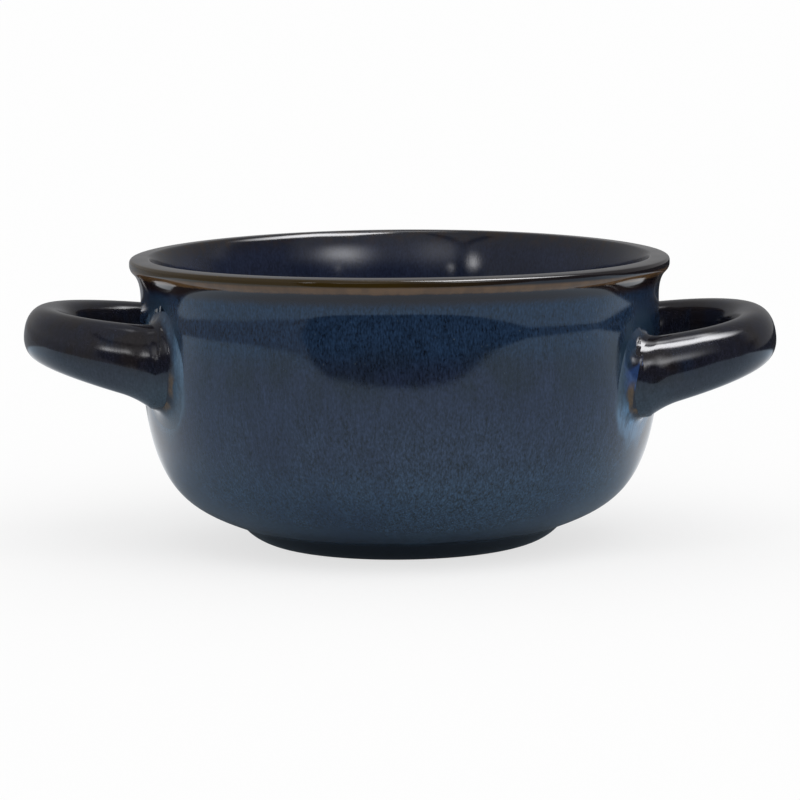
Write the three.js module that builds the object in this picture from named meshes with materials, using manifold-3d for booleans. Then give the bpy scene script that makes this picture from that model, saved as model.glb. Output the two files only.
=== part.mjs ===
// Two-handled soup bowl in glazed stoneware: a turned body on a bevelled foot,
// and two loop handles luted to its sides with clay slip.
// Millimetres, +Z up. The origin is the middle of the foot's resting face,
// and +X runs across the handles.

import * as THREE from 'three';
import { mergeVertices } from 'three/addons/utils/BufferGeometryUtils.js';
import Module from 'manifold-3d';

// Body: the belly is widest below a drawn-in neck, and a round lip stands out over the neck.
const HEIGHT = 75.4;
const BELLY_RADIUS = 67.4;
const BELLY_DROP = 18;
const NECK_INSET = 0.3;
const NECK_DROP = 10;
const LIP_OVERHANG = 2.9;
const LIP_RADIUS = 2.6;
const LIP_UNDERCUT = THREE.MathUtils.degToRad(50);
const WALL = 6;
const INNER_SHOULDER_DROP = 19.4;
const FLOOR = 5;

// Foot: a flat resting ring, a bevelled side and a crease where the belly starts.
const FOOT_RADIUS = 32;
const FOOT_LAND = 5;
const FOOT_RECESS = 2.5;
const FOOT_RECESS_RUN = 2;
const FOOT_BEVEL = 9.6;
const FOOT_HEIGHT = 5.1;
const FOOT_BULGE = 1.5;
const BELLY_START = THREE.MathUtils.degToRad(20.5);

// Handles: a level loop in plan, deeper at its roots than at the grip.
// Each one is pulled and set by hand, so the two differ a little at their roots,
// and each leans by the height of its rear root over its front root.
const HANDLE_REACH = 30.2;
const HANDLE_SPREAD = 28;
const HANDLE_RISE = 5.8;
const LEFT_ROOT_DROP = 25.4;
const LEFT_ROOT_HEIGHT = 19.4;
const LEFT_LEAN = -0.2;
const RIGHT_ROOT_DROP = 27.7;
const RIGHT_ROOT_HEIGHT = 18.4;
const RIGHT_LEAN = 2.7;
const GRIP_WIDTH = 11.4;
const GRIP_HEIGHT = 13.8;
const ROOT_WIDTH = 12;
const ROOT_FLARE = 1.8;
const FLARE_RUN = 7;
const LOOP_EXPONENT = 2.4;
const SECTION_EXPONENT = 2.3;

// Slip joints: a skin of fired slip that squeezed out past the handle's root.
const SLIP_THICKNESS = 1.2;
const SLIP_BEAD = 0.7;
const JOINT_GAP = 0.3;

// Fullness of the belly's curves, outside and inside, as shares of the span that each one crosses.
const BELLY_START_PULL = 0.64;
const BELLY_TOP_PULL = 0.81;
const INNER_LIP_PULL = 0.2;
const INNER_SHOULDER_PULL = 0.68;
const INNER_WALL_PULL = 0.9;
const INNER_FLOOR_PULL = 0.91;

// Facets, and the distance within which their corners are one point.
const TURN_STEPS = 72;
const LOOP_STEPS = 40;
const SECTION_STEPS = 24;
const BELLY_STEPS = 11;
const SHOULDER_STEPS = 3;
const NECK_STEPS = 4;
const FOOT_STEPS = 3;
const LIP_OUTSIDE_STEPS = 7;
const LIP_INSIDE_STEPS = 4;
const INNER_SHOULDER_STEPS = 6;
const INNER_STEPS = 11;
const WELD_DISTANCE = 1e-4;

const bellyZ = HEIGHT - BELLY_DROP;
const neckZ = HEIGHT - NECK_DROP;
const neckRadius = BELLY_RADIUS - NECK_INSET;
const lipCentre = new THREE.Vector2(neckRadius + LIP_OVERHANG - LIP_RADIUS, HEIGHT - LIP_RADIUS);
const crease = new THREE.Vector2(FOOT_RADIUS + FOOT_BEVEL, FOOT_HEIGHT);
const floorZ = FOOT_RECESS + FLOOR;

const wasm = await Module();
wasm.setup();

// A curve through a profile's first and last points, drawn towards the one or two between them.
function curve(points, steps) {
  const bends = points.map(([r, z]) => new THREE.Vector2(r, z));
  const Bezier = bends.length === 3 ? THREE.QuadraticBezierCurve : THREE.CubicBezierCurve;
  return new Bezier(...bends).getPoints(steps);
}

// A sideways swing between two radii that starts and ends upright.
function swing([fromR, fromZ], [toR, toZ], steps) {
  const middle = (fromZ + toZ) / 2;
  return curve([[fromR, fromZ], [fromR, middle], [toR, middle], [toR, toZ]], steps);
}

// The outside of the body from the foot's edge up to the underside of the lip.
function outerWall() {
  const startPull = BELLY_START_PULL * (BELLY_RADIUS - crease.x);
  const topPull = BELLY_TOP_PULL * (bellyZ - crease.y);
  const lipFootR = lipCentre.x + LIP_RADIUS * Math.cos(LIP_UNDERCUT);
  const lipFootZ = lipCentre.y - LIP_RADIUS * Math.sin(LIP_UNDERCUT);
  const foot = curve([
    [FOOT_RADIUS, 0],
    [(FOOT_RADIUS + crease.x) / 2 + FOOT_BULGE, crease.y / 2 - FOOT_BULGE],
    [crease.x, crease.y],
  ], FOOT_STEPS);
  const belly = curve([
    [crease.x, crease.y],
    [crease.x + startPull * Math.cos(BELLY_START), crease.y + startPull * Math.sin(BELLY_START)],
    [BELLY_RADIUS, bellyZ - topPull],
    [BELLY_RADIUS, bellyZ],
  ], BELLY_STEPS);
  const shoulder = swing([BELLY_RADIUS, bellyZ], [neckRadius, neckZ], SHOULDER_STEPS);
  const neck = curve([
    [neckRadius, neckZ],
    [neckRadius, lipFootZ - (lipFootR - neckRadius)],
    [lipFootR, lipFootZ],
  ], NECK_STEPS);
  return [...foot, ...belly.slice(1), ...shoulder.slice(1), ...neck.slice(1)];
}

// The round lip, from its underside up to the crest and down to the inside.
function lipArc() {
  const crest = Math.PI / 2;
  const arc = (from, to, steps) => new THREE.EllipseCurve(
    lipCentre.x, lipCentre.y, LIP_RADIUS, LIP_RADIUS, from, to).getPoints(steps);
  const outside = arc(-LIP_UNDERCUT, crest, LIP_OUTSIDE_STEPS);
  const inside = arc(crest, Math.PI, LIP_INSIDE_STEPS);
  return [...outside.slice(1), ...inside.slice(1)];
}

// The inside of the body from the lip in to the wall, which leans out towards the lip,
// and down the wall to the middle of the floor.
function innerWall() {
  const wallInside = BELLY_RADIUS - WALL;
  const lipInside = lipCentre.x - LIP_RADIUS;
  const shoulderZ = HEIGHT - INNER_SHOULDER_DROP;
  const lean = lipCentre.y - shoulderZ;
  const shoulder = curve([
    [lipInside, lipCentre.y],
    [lipInside, lipCentre.y - INNER_LIP_PULL * lean],
    [wallInside, shoulderZ + INNER_SHOULDER_PULL * lean],
    [wallInside, shoulderZ],
  ], INNER_SHOULDER_STEPS);
  const bowl = curve([
    [wallInside, shoulderZ],
    [wallInside, shoulderZ - INNER_WALL_PULL * (shoulderZ - floorZ)],
    [INNER_FLOOR_PULL * wallInside, floorZ],
    [0, floorZ],
  ], INNER_STEPS);
  return [...shoulder.slice(1), ...bowl.slice(1)];
}

function turned(points) {
  return new THREE.LatheGeometry(points, TURN_STEPS).rotateX(Math.PI / 2);
}

function bodyGeometry() {
  const landInside = FOOT_RADIUS - FOOT_LAND;
  const underside = [
    new THREE.Vector2(0, FOOT_RECESS),
    new THREE.Vector2(landInside - FOOT_RECESS_RUN, FOOT_RECESS),
    new THREE.Vector2(landInside, 0),
  ];
  return turned([...underside, ...outerWall(), ...lipArc(), ...innerWall()]);
}

// A solid of the body's outside, grown sideways by a margin, that trims what is set against the wall.
function wallCutter(margin) {
  const side = outerWall().map((point) => new THREE.Vector2(point.x + margin, point.y));
  const bottom = new THREE.Vector2(0, side[0].y);
  const top = new THREE.Vector2(0, side[side.length - 1].y);
  return toSolid(turned([bottom, ...side, top]));
}

function wallRadiusAt(height) {
  const wall = outerWall();
  const above = wall.findIndex((point) => point.y >= height);
  const low = wall[above - 1];
  const high = wall[above];
  return THREE.MathUtils.mapLinear(height, low.y, high.y, low.x, high.x);
}

function toSolid(geometry) {
  const bare = geometry.clone();
  bare.deleteAttribute('normal');
  bare.deleteAttribute('uv');
  const merged = mergeVertices(bare, WELD_DISTANCE);
  const triangles = [];
  for (let i = 0; i < merged.index.count; i += 3) {
    const [a, b, c] = merged.index.array.slice(i, i + 3);
    if (a !== b && b !== c && c !== a) {
      triangles.push(a, b, c);
    }
  }
  return new wasm.Manifold(new wasm.Mesh({
    numProp: 3,
    vertProperties: new Float32Array(merged.attributes.position.array),
    triVerts: new Uint32Array(triangles),
  }));
}

function toGeometry(solid) {
  const mesh = solid.getMesh();
  const geometry = new THREE.BufferGeometry();
  geometry.setAttribute('position', new THREE.BufferAttribute(mesh.vertProperties, 3));
  geometry.setIndex(new THREE.BufferAttribute(mesh.triVerts, 1));
  geometry.computeVertexNormals();
  return geometry;
}

function signedPower(value, exponent) {
  return Math.sign(value) * Math.abs(value) ** exponent;
}

// Centreline of a handle on the +X side, from its front root to its rear root:
// half a superellipse in plan, rising to the grip, with a straight end inside the wall at each root.
class HandleLine extends THREE.Curve {
  constructor(rootZ, rootHeight, lean) {
    super();
    this.rootZ = rootZ;
    this.rootHeight = rootHeight;
    this.lean = lean;
    this.wallRadius = wallRadiusAt(rootZ);
    this.rootX = Math.sqrt(this.wallRadius ** 2 - HANDLE_SPREAD ** 2);
    this.gripX = BELLY_RADIUS + HANDLE_REACH - GRIP_WIDTH / 2;
    this.endLength = ROOT_WIDTH;
  }

  getPoint(t, target = new THREE.Vector3()) {
    const run = this.gripX - this.rootX;
    const loop = run + HANDLE_SPREAD;
    const inside = this.endLength / (2 * this.endLength + 2 * loop);
    const along = THREE.MathUtils.clamp((t - inside) / (1 - 2 * inside), 0, 1);
    const angle = (along - 0.5) * Math.PI;
    const out = signedPower(Math.cos(angle), 2 / LOOP_EXPONENT);
    const across = signedPower(Math.sin(angle), 2 / LOOP_EXPONENT);
    const depth = Math.max(inside - t, t - 1 + inside, 0) / inside;
    return target.set(
      this.rootX + run * out - this.endLength * depth,
      HANDLE_SPREAD * across,
      this.rootZ + HANDLE_RISE * out + (this.lean * across) / 2,
    );
  }
}

// The section's half width and half height at a point: a taper from root to grip,
// and a flare over the last stretch before the wall.
function sectionAt(point, line, margin) {
  const out = THREE.MathUtils.clamp((point.x - line.rootX) / (line.gripX - line.rootX), 0, 1);
  const clear = Math.hypot(point.x, point.y) - line.wallRadius;
  const near = THREE.MathUtils.clamp(1 - clear / FLARE_RUN, 0, 1);
  const flare = ROOT_FLARE * near ** 2 + margin;
  return {
    halfWidth: THREE.MathUtils.lerp(ROOT_WIDTH, GRIP_WIDTH, out) / 2 + flare,
    halfHeight: THREE.MathUtils.lerp(line.rootHeight, GRIP_HEIGHT, out) / 2 + flare,
  };
}

// A closed loft of superelliptic sections along the handle's centreline.
function handleLoft(line, margin) {
  const centres = line.getSpacedPoints(LOOP_STEPS);
  const positions = [];
  centres.forEach((centre, station) => {
    const before = centres[Math.max(station - 1, 0)];
    const after = centres[Math.min(station + 1, LOOP_STEPS)];
    const along = after.clone().sub(before).normalize();
    const sideways = new THREE.Vector3(along.y, -along.x, 0).normalize();
    const up = new THREE.Vector3().crossVectors(sideways, along);
    const { halfWidth, halfHeight } = sectionAt(centre, line, margin);
    for (let i = 0; i < SECTION_STEPS; i += 1) {
      const angle = (2 * Math.PI * i) / SECTION_STEPS;
      const point = centre.clone();
      point.addScaledVector(sideways, halfWidth * signedPower(Math.cos(angle), 2 / SECTION_EXPONENT));
      point.addScaledVector(up, halfHeight * signedPower(Math.sin(angle), 2 / SECTION_EXPONENT));
      positions.push(point.x, point.y, point.z);
    }
  });
  const indices = [];
  for (let station = 0; station < LOOP_STEPS; station += 1) {
    for (let i = 0; i < SECTION_STEPS; i += 1) {
      const next = (i + 1) % SECTION_STEPS;
      const a = station * SECTION_STEPS + i;
      const b = station * SECTION_STEPS + next;
      indices.push(a, a + SECTION_STEPS, b);
      indices.push(b, a + SECTION_STEPS, b + SECTION_STEPS);
    }
  }
  const last = LOOP_STEPS * SECTION_STEPS;
  for (let i = 1; i < SECTION_STEPS - 1; i += 1) {
    indices.push(0, i, i + 1);
    indices.push(last, last + i + 1, last + i);
  }
  const geometry = new THREE.BufferGeometry();
  geometry.setAttribute('position', new THREE.Float32BufferAttribute(positions, 3));
  geometry.setIndex(indices);
  return geometry;
}

// A handle on the +X side, saddled to the wall, with the skin of slip under each root.
function handleSide(rootDrop, rootHeight, lean) {
  const line = new HandleLine(HEIGHT - rootDrop, rootHeight, lean);
  const slipTop = JOINT_GAP + SLIP_THICKNESS;
  const handle = toSolid(handleLoft(line, 0)).subtract(wallCutter(slipTop + JOINT_GAP));
  const slip = toSolid(handleLoft(line, SLIP_BEAD))
    .intersect(wallCutter(slipTop))
    .subtract(wallCutter(JOINT_GAP));
  const frontness = (solid) => solid.boundingBox().min[1];
  const [front, rear] = slip.decompose().sort((a, b) => frontness(a) - frontness(b));
  return { handle: toGeometry(handle), front: toGeometry(front), rear: toGeometry(rear) };
}

function glaze(colour, roughness) {
  return new THREE.MeshStandardMaterial({ color: colour, roughness, metalness: 0 });
}

function piece(name, geometry, material) {
  const mesh = new THREE.Mesh(geometry, material);
  mesh.name = name;
  return mesh;
}

const bowl = new THREE.Group();
bowl.add(piece('bowl_body', bodyGeometry(), glaze(0x394156, 0.15)));

const right = handleSide(RIGHT_ROOT_DROP, RIGHT_ROOT_HEIGHT, RIGHT_LEAN);
bowl.add(piece('right_handle', right.handle, glaze(0x1d2433, 0.15)));
bowl.add(piece('right_front_slip_joint', right.front, glaze(0x5b4634, 0.2)));
bowl.add(piece('right_rear_slip_joint', right.rear, glaze(0x5b4634, 0.2)));

// The left side is built like the right one and turned half round, so its front and rear change places,
// and its lean changes sign.
const left = handleSide(LEFT_ROOT_DROP, LEFT_ROOT_HEIGHT, -LEFT_LEAN);
const leftSide = new THREE.Group();
leftSide.rotation.z = Math.PI;
leftSide.add(piece('left_handle', left.handle, glaze(0x1d2433, 0.15)));
leftSide.add(piece('left_front_slip_joint', left.rear, glaze(0x5b4634, 0.2)));
leftSide.add(piece('left_rear_slip_joint', left.front, glaze(0x5b4634, 0.2)));
bowl.add(leftSide);

export default bowl;
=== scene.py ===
import bpy
import numpy as np
from mathutils import Matrix, Vector


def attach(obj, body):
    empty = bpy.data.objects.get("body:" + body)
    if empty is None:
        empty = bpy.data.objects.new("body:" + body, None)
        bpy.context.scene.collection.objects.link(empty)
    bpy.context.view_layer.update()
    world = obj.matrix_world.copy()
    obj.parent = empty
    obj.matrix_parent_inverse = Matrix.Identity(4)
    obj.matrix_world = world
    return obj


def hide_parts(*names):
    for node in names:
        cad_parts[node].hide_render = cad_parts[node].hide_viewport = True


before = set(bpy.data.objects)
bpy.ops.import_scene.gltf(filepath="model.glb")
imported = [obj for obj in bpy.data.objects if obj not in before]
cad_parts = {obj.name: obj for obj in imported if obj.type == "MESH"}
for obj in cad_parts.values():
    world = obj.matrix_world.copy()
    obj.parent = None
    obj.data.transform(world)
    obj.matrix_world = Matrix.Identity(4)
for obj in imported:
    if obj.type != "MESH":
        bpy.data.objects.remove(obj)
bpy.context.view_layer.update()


# Bowl body: thrown in one piece from stoneware clay, with a turned foot ring, a full belly, a
# drawn-in neck and a rolled lip. It is dipped in a blue reactive glaze, which breaks brown over the
# lip, and the face of the foot ring is wiped bare so that it doesn't stick to the kiln shelf.

bowl_height = 0.0754
foot_radius = 0.032
foot_land = 0.005
foot_recess = 0.0025
recess_slope = 0.002
foot_crease = np.array([0.0416, 0.0051])
foot_bulge = 0.0015
belly_radius = 0.0674
belly_height = 0.0574
belly_start = np.radians(20.5)
belly_low_pull = 0.64
belly_high_pull = 0.81
neck_radius = 0.0671
neck_height = 0.0646
lip_middle = np.array([0.06735, 0.07361])
lip_radius = 0.0026
lip_undercut = np.radians(50.0)
lip_face = 0.0010
lip_face_lean = np.radians(6.0)
lip_chamfer = np.radians(34.0)
lip_chamfer_rise = 0.0005
lip_top_pull = 0.0012
lip_crown = 0.00175
lip_crest_radius = 0.0655
lip_inner_round = 0.0012
lip_bevel = np.radians(38.0)
wall_thickness = 0.006
floor_height = 0.0075
inner_lean = np.radians(6.0)
inner_bend_out = 0.00034
inner_bend_height = 0.0628
inner_shoulder_height = 0.056
neck_top_pull = 0.0026
neck_low_pull = 0.0042
wall_top_pull = 0.002
wall_low_pull = 0.004
inside_deep_pull = 0.9
inside_wide_pull = 0.91
rim_bow = 0.00065
rim_tilt = 0.00025
rim_bow_start = 0.045


def bend_curve(points, steps):
    """Curve from the first point to the last, drawn towards those between: each pass slides along
    the straight lines between neighbouring points until one point is left."""
    share = np.linspace(0.0, 1.0, steps)[:, None, None]
    line = np.repeat(np.array(points)[None], steps, axis=0)
    while line.shape[1] > 1:
        line = line[:, :-1] * (1.0 - share) + line[:, 1:] * share
    return line[:, 0]


foot_middle = (np.array([foot_radius, 0.0]) + foot_crease) / 2.0 + foot_bulge * np.array([1.0, -1.0])
foot_side = bend_curve([(foot_radius, 0.0), foot_middle, foot_crease], steps=20)
belly_reach = belly_low_pull * (belly_radius - foot_crease[0])
belly_drop = belly_high_pull * (belly_height - foot_crease[1])
belly = bend_curve([
    foot_crease,
    foot_crease + belly_reach * np.array([np.cos(belly_start), np.sin(belly_start)]),
    (belly_radius, belly_height - belly_drop),
    (belly_radius, belly_height),
], steps=120)
shoulder_middle = (belly_height + neck_height) / 2.0
shoulder = bend_curve([
    (belly_radius, belly_height),
    (belly_radius, shoulder_middle),
    (neck_radius, shoulder_middle),
    (neck_radius, neck_height),
], steps=20)
lip_foot = lip_middle + lip_radius * np.array([np.cos(lip_undercut), -np.sin(lip_undercut)])
neck = bend_curve([
    (neck_radius, neck_height),
    (neck_radius, lip_foot[1] - (lip_foot[0] - neck_radius)),
    lip_foot,
], steps=30)
outer_wall = np.concatenate([foot_side, belly[1:], shoulder[1:], neck[1:]])


def wall_radius(height):
    """Radius of the outer wall at a height, read off the profile."""
    return np.interp(height, outer_wall[:, 1], outer_wall[:, 0])


under_turn = np.linspace(-lip_undercut, 0.0, 20)[1:]
lip_under = lip_middle + lip_radius * np.stack([np.cos(under_turn), np.sin(under_turn)], axis=1)
lip_edge = lip_middle + [lip_radius, 0.0]
face_top = lip_edge + lip_face * np.array([-np.tan(lip_face_lean) / 2.0, 1.0])
lip_side = bend_curve([lip_edge, lip_edge + [0.0, lip_face / 2.0], face_top], steps=20)
chamfer_top = face_top + lip_chamfer_rise * np.array([-np.tan(lip_chamfer), 1.0])
crest = np.array([lip_crest_radius, lip_middle[1] + lip_crown])
lip_top = bend_curve([chamfer_top, (chamfer_top[0] - lip_top_pull, crest[1]), crest], steps=40)
bevel_turn = np.linspace(np.pi / 2.0, np.pi - lip_bevel, 30)[1:]
bevel = crest + lip_inner_round * np.stack([np.cos(bevel_turn), np.sin(bevel_turn) - 1.0], axis=1)
lip = np.concatenate([lip_under, lip_side[1:], lip_top, bevel])


def leaning(angle):
    """Direction down an inner wall that leans outwards towards its top by an angle."""
    return -np.array([np.sin(angle), np.cos(angle)])


inner_radius = belly_radius - wall_thickness
inner_bend = np.array([inner_radius + inner_bend_out, inner_bend_height])
inner_shoulder = np.array([inner_radius, inner_shoulder_height])
inner_neck = bend_curve([
    lip[-1],
    lip[-1] + neck_top_pull * leaning(lip_bevel),
    inner_bend - neck_low_pull * leaning(inner_lean),
    inner_bend,
], steps=40)
inner_wall = bend_curve([
    inner_bend,
    inner_bend + wall_top_pull * leaning(inner_lean),
    inner_shoulder + [0.0, wall_low_pull],
    inner_shoulder,
], steps=30)
inner_bowl = bend_curve([
    inner_shoulder,
    inner_shoulder - [0.0, inside_deep_pull * (inner_shoulder_height - floor_height)],
    (inside_wide_pull * inner_radius, floor_height),
    (0.0, floor_height),
], steps=160)
inside_profile = np.concatenate([inner_neck[1:], inner_wall[1:], inner_bowl[1:]])
underside = np.array([
    (0.0, foot_recess),
    (foot_radius - foot_land - recess_slope, foot_recess),
    (foot_radius - foot_land, 0.0),
])
bowl_profile = np.concatenate([underside, outer_wall, lip, inside_profile])


def length_along(points):
    """Length of a line of points from its start to each of them."""
    steps = np.linalg.norm(np.diff(points, axis=0), axis=1)
    return np.concatenate([[0.0], np.cumsum(steps)])


def points_at(stops, places, points):
    """Points of a line at given stops, by straight steps between points with known places."""
    return np.stack([np.interp(stops, places, column) for column in points.T], axis=1)


def glaze_softened_rows(profile, softness, spacing, bend):
    """Profile averaged over its own length with a bell-shaped weight, as a coat of glaze rounds the
    corners under it, then cut into rows at even steps of length over spacing plus turn over bend."""
    fine_step = 0.00005
    bell_reach = 20
    lengths = length_along(profile)
    even = np.linspace(0.0, lengths[-1], int(lengths[-1] / fine_step))
    bell = np.exp(-0.5 * (np.arange(-bell_reach, bell_reach + 1) * fine_step / softness) ** 2)
    bell /= bell.sum()
    ends = ((bell_reach, bell_reach), (0, 0))
    padded = np.pad(points_at(even, lengths, profile), ends, mode="reflect", reflect_type="odd")
    soft = np.stack([np.convolve(column, bell, mode="valid") for column in padded.T], axis=1)
    steps = np.gradient(soft, axis=0)
    heading = np.unwrap(np.arctan2(*steps.T))
    effort = np.cumsum(np.hypot(*steps.T) / spacing + np.abs(np.gradient(heading)) / bend)
    stops = np.linspace(effort[0], effort[-1], int(effort[-1]))
    return points_at(stops, effort, soft)


def ring_quads(rings, turns):
    """Quads of a stack of closed rings: each joins a point to the next one round its ring and to
    the two above them on the next ring."""
    ring, turn = np.meshgrid(np.arange(rings - 1), np.arange(turns), indexing="ij")
    here = ring * turns + turn
    beside = ring * turns + (turn + 1) % turns
    return np.stack([here, beside, beside + turns, here + turns], axis=-1).reshape(-1, 4)


def smooth_step(value, low, high):
    """0 at low, 1 at high, an S-curve between them and level beyond; low above high turns it round."""
    share = np.clip((value - low) / (high - low), 0.0, 1.0)
    return share * share * (3.0 - 2.0 * share)


def make_piece(name, points, faces, material):
    """Mesh object at the origin, shaded smooth, with its place in its points."""
    mesh = bpy.data.meshes.new(name)
    mesh.from_pydata(points.reshape(-1, 3).tolist(), [], faces)
    mesh.shade_smooth()
    mesh.materials.append(material)
    piece = bpy.data.objects.new(name, mesh)
    bpy.context.scene.collection.objects.link(piece)
    return piece


def mark_points(piece, name, values):
    """Keeps one number for each point of a piece, for its material to read."""
    attribute = piece.data.attributes.new(name, "FLOAT", "POINT")
    attribute.data.foreach_set("value", np.asarray(values, dtype=np.float32).ravel())


def add_node(tree, kind, inputs=None, **options):
    """Puts a node in a tree, sets its options, and gives each input a value or a link."""
    node = tree.nodes.new(kind)
    for option, value in options.items():
        setattr(node, option, value)
    for socket, value in (inputs or {}).items():
        if isinstance(value, bpy.types.NodeSocket):
            tree.links.new(value, node.inputs[socket])
        else:
            node.inputs[socket].default_value = value
    return node


def math_node(tree, operation, *values):
    """Result of an operation on up to three numbers."""
    return add_node(tree, "ShaderNodeMath", dict(enumerate(values)), operation=operation).outputs[0]


def product(tree, result, *others):
    """All the numbers multiplied together."""
    for other in others:
        result = math_node(tree, "MULTIPLY", result, other)
    return result


def weighted_sum(tree, total, *terms):
    """A number, plus the value times the weight of each term."""
    for value, weight in terms:
        total = math_node(tree, "MULTIPLY_ADD", value, weight, total)
    return total


def swing(tree, pattern, width):
    """Pattern between 0 and 1, made to swing by half a width to each side of 0."""
    return product(tree, math_node(tree, "SUBTRACT", pattern, 0.5), width)


def soft_mask(tree, value, span):
    """0 at the start of a span, 1 at its end, an S-curve between them and level beyond."""
    inputs = {"Value": value, "From Min": span[0], "From Max": span[1]}
    return add_node(tree, "ShaderNodeMapRange", inputs, interpolation_type="SMOOTHSTEP").outputs[0]


def masks(tree, *pairs):
    """Product of the soft masks of values, each in a pair with its span."""
    return product(tree, *[soft_mask(tree, value, span) for value, span in pairs])


def mixed_colour(tree, share, first, second):
    """First colour where the share is 0 and second colour where it is 1."""
    inputs = {0: share, 6: first, 7: second}
    return add_node(tree, "ShaderNodeMix", inputs, data_type="RGBA").outputs[2]


def covered(tree, colour, over, *pairs):
    """Colour with another over it where the masks of all pairs of a value and its span are 1."""
    return mixed_colour(tree, masks(tree, *pairs), colour, over)


def scaled_colour(tree, colour, scale):
    """Colour times a number."""
    inputs = {0: colour, "Scale": scale}
    return add_node(tree, "ShaderNodeVectorMath", inputs, operation="SCALE").outputs[0]


def vector_node(tree, operation, *values):
    """Outputs of an operation on one or two vectors."""
    return add_node(tree, "ShaderNodeVectorMath", dict(enumerate(values)), operation=operation).outputs


def stretched_noise(tree, place, upright, scale, detail):
    """Cloudy pattern of a scale for each metre and a detail, on a place whose height is first
    multiplied by upright, so that a number below 1 draws the pattern out downwards."""
    stretched = vector_node(tree, "MULTIPLY", place, (1.0, 1.0, upright))[0]
    inputs = {"Vector": stretched, "Scale": scale, "Detail": detail, "Roughness": 0.55}
    return add_node(tree, "ShaderNodeTexNoise", inputs).outputs[0]


def point_value(tree, name):
    """Number that a piece keeps at its points."""
    return add_node(tree, "ShaderNodeAttribute", attribute_name=name).outputs["Fac"]


def new_group(name, inputs, outputs):
    """Node group with named inputs and outputs (name to socket type), and its two end nodes."""
    group = bpy.data.node_groups.new(name, "ShaderNodeTree")
    for socket, kind in inputs.items():
        group.interface.new_socket(name=socket, in_out="INPUT", socket_type=kind)
    for socket, kind in outputs.items():
        group.interface.new_socket(name=socket, in_out="OUTPUT", socket_type=kind)
    return group, group.nodes.new("NodeGroupInput"), group.nodes.new("NodeGroupOutput")


# Rutile in the glaze: grains under a third of a millimetre that ran down the wall as it melted, in
# longer streaks, and a skin that is a little uneven. Grain is about 1 on average, Streak about 0.5.
# Each pattern here and below is its upright stretch, its scale for a metre and its detail.
grain_pattern = (0.42, 2300.0, 2.0)
streak_pattern = (0.12, 900.0, 2.0)
pale_pattern = (0.6, 1450.0, 1.0)
wave_pattern = (0.6, 55.0, 1.0)
grain_width = 4.2
streak_width = 1.6
least_grain = 0.15
grain_in_skin = 0.006
rutile, rutile_in, rutile_out = new_group(
    "rutile_grain",
    {"Place": "NodeSocketVector", "Strength": "NodeSocketFloat"},
    {name: "NodeSocketFloat" for name in ("Grain", "Streak", "Pale", "Height")},
)
rutile_place = rutile_in.outputs["Place"]
grain_noise = stretched_noise(rutile, rutile_place, *grain_pattern)
streak_noise = stretched_noise(rutile, rutile_place, *streak_pattern)
grain_part = swing(rutile, grain_noise, grain_width)
grain_sum = math_node(rutile, "ADD", grain_part, swing(rutile, streak_noise, streak_width))
grain_level = weighted_sum(rutile, 1.0, (grain_sum, rutile_in.outputs["Strength"]))
pale_noise = stretched_noise(rutile, rutile_place, *pale_pattern)
wave_noise = stretched_noise(rutile, rutile_place, *wave_pattern)
rutile.links.new(math_node(rutile, "MAXIMUM", grain_level, least_grain), rutile_out.inputs["Grain"])
rutile.links.new(streak_noise, rutile_out.inputs["Streak"])
rutile.links.new(soft_mask(rutile, pale_noise, (0.74, 0.82)), rutile_out.inputs["Pale"])
rutile.links.new(weighted_sum(rutile, wave_noise, (grain_sum, grain_in_skin)), rutile_out.inputs["Height"])

# Glaze that pooled thickly and ran down: teal, and paler in the runs where Paleness is high.
pool_teal = (0.0200, 0.0410, 0.0690, 1.0)
pool_pale = (0.1040, 0.2120, 0.3550, 1.0)
run_pattern = (0.22, 330.0, 3.0)
cover_pattern = (0.35, 240.0, 3.0)
pool, pool_in, pool_out = new_group(
    "pooled_glaze",
    {"Place": "NodeSocketVector", "Paleness": "NodeSocketFloat"},
    {"Colour": "NodeSocketColor", "Cover": "NodeSocketFloat"},
)
run_noise = stretched_noise(pool, pool_in.outputs["Place"], *run_pattern)
run_share = product(pool, soft_mask(pool, run_noise, (0.28, 0.58)), pool_in.outputs["Paleness"])
cover_noise = stretched_noise(pool, pool_in.outputs["Place"], *cover_pattern)
pool.links.new(mixed_colour(pool, run_share, pool_teal, pool_pale), pool_out.inputs["Colour"])
pool.links.new(cover_noise, pool_out.inputs["Cover"])

glaze_ior = 1.5
skin_depth = 0.00022


def glaze_material(name, gloss):
    """Material with a shader of glazed ceramic, its node tree, its place and the rutile group."""
    material = bpy.data.materials.new(name)
    material.use_nodes = True
    tree = material.node_tree
    shader = tree.nodes["Principled BSDF"]
    shader.inputs["IOR"].default_value = glaze_ior
    shader.inputs["Roughness"].default_value = gloss
    place = add_node(tree, "ShaderNodeTexCoord").outputs["Object"]
    grain = add_node(tree, "ShaderNodeGroup", {"Place": place}, node_tree=rutile)
    inputs = {"Height": grain.outputs["Height"], "Distance": skin_depth, "Strength": 1.0}
    skin = add_node(tree, "ShaderNodeBump", inputs)
    tree.links.new(skin.outputs[0], shader.inputs["Normal"])
    return material, tree, shader, place, grain


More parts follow.
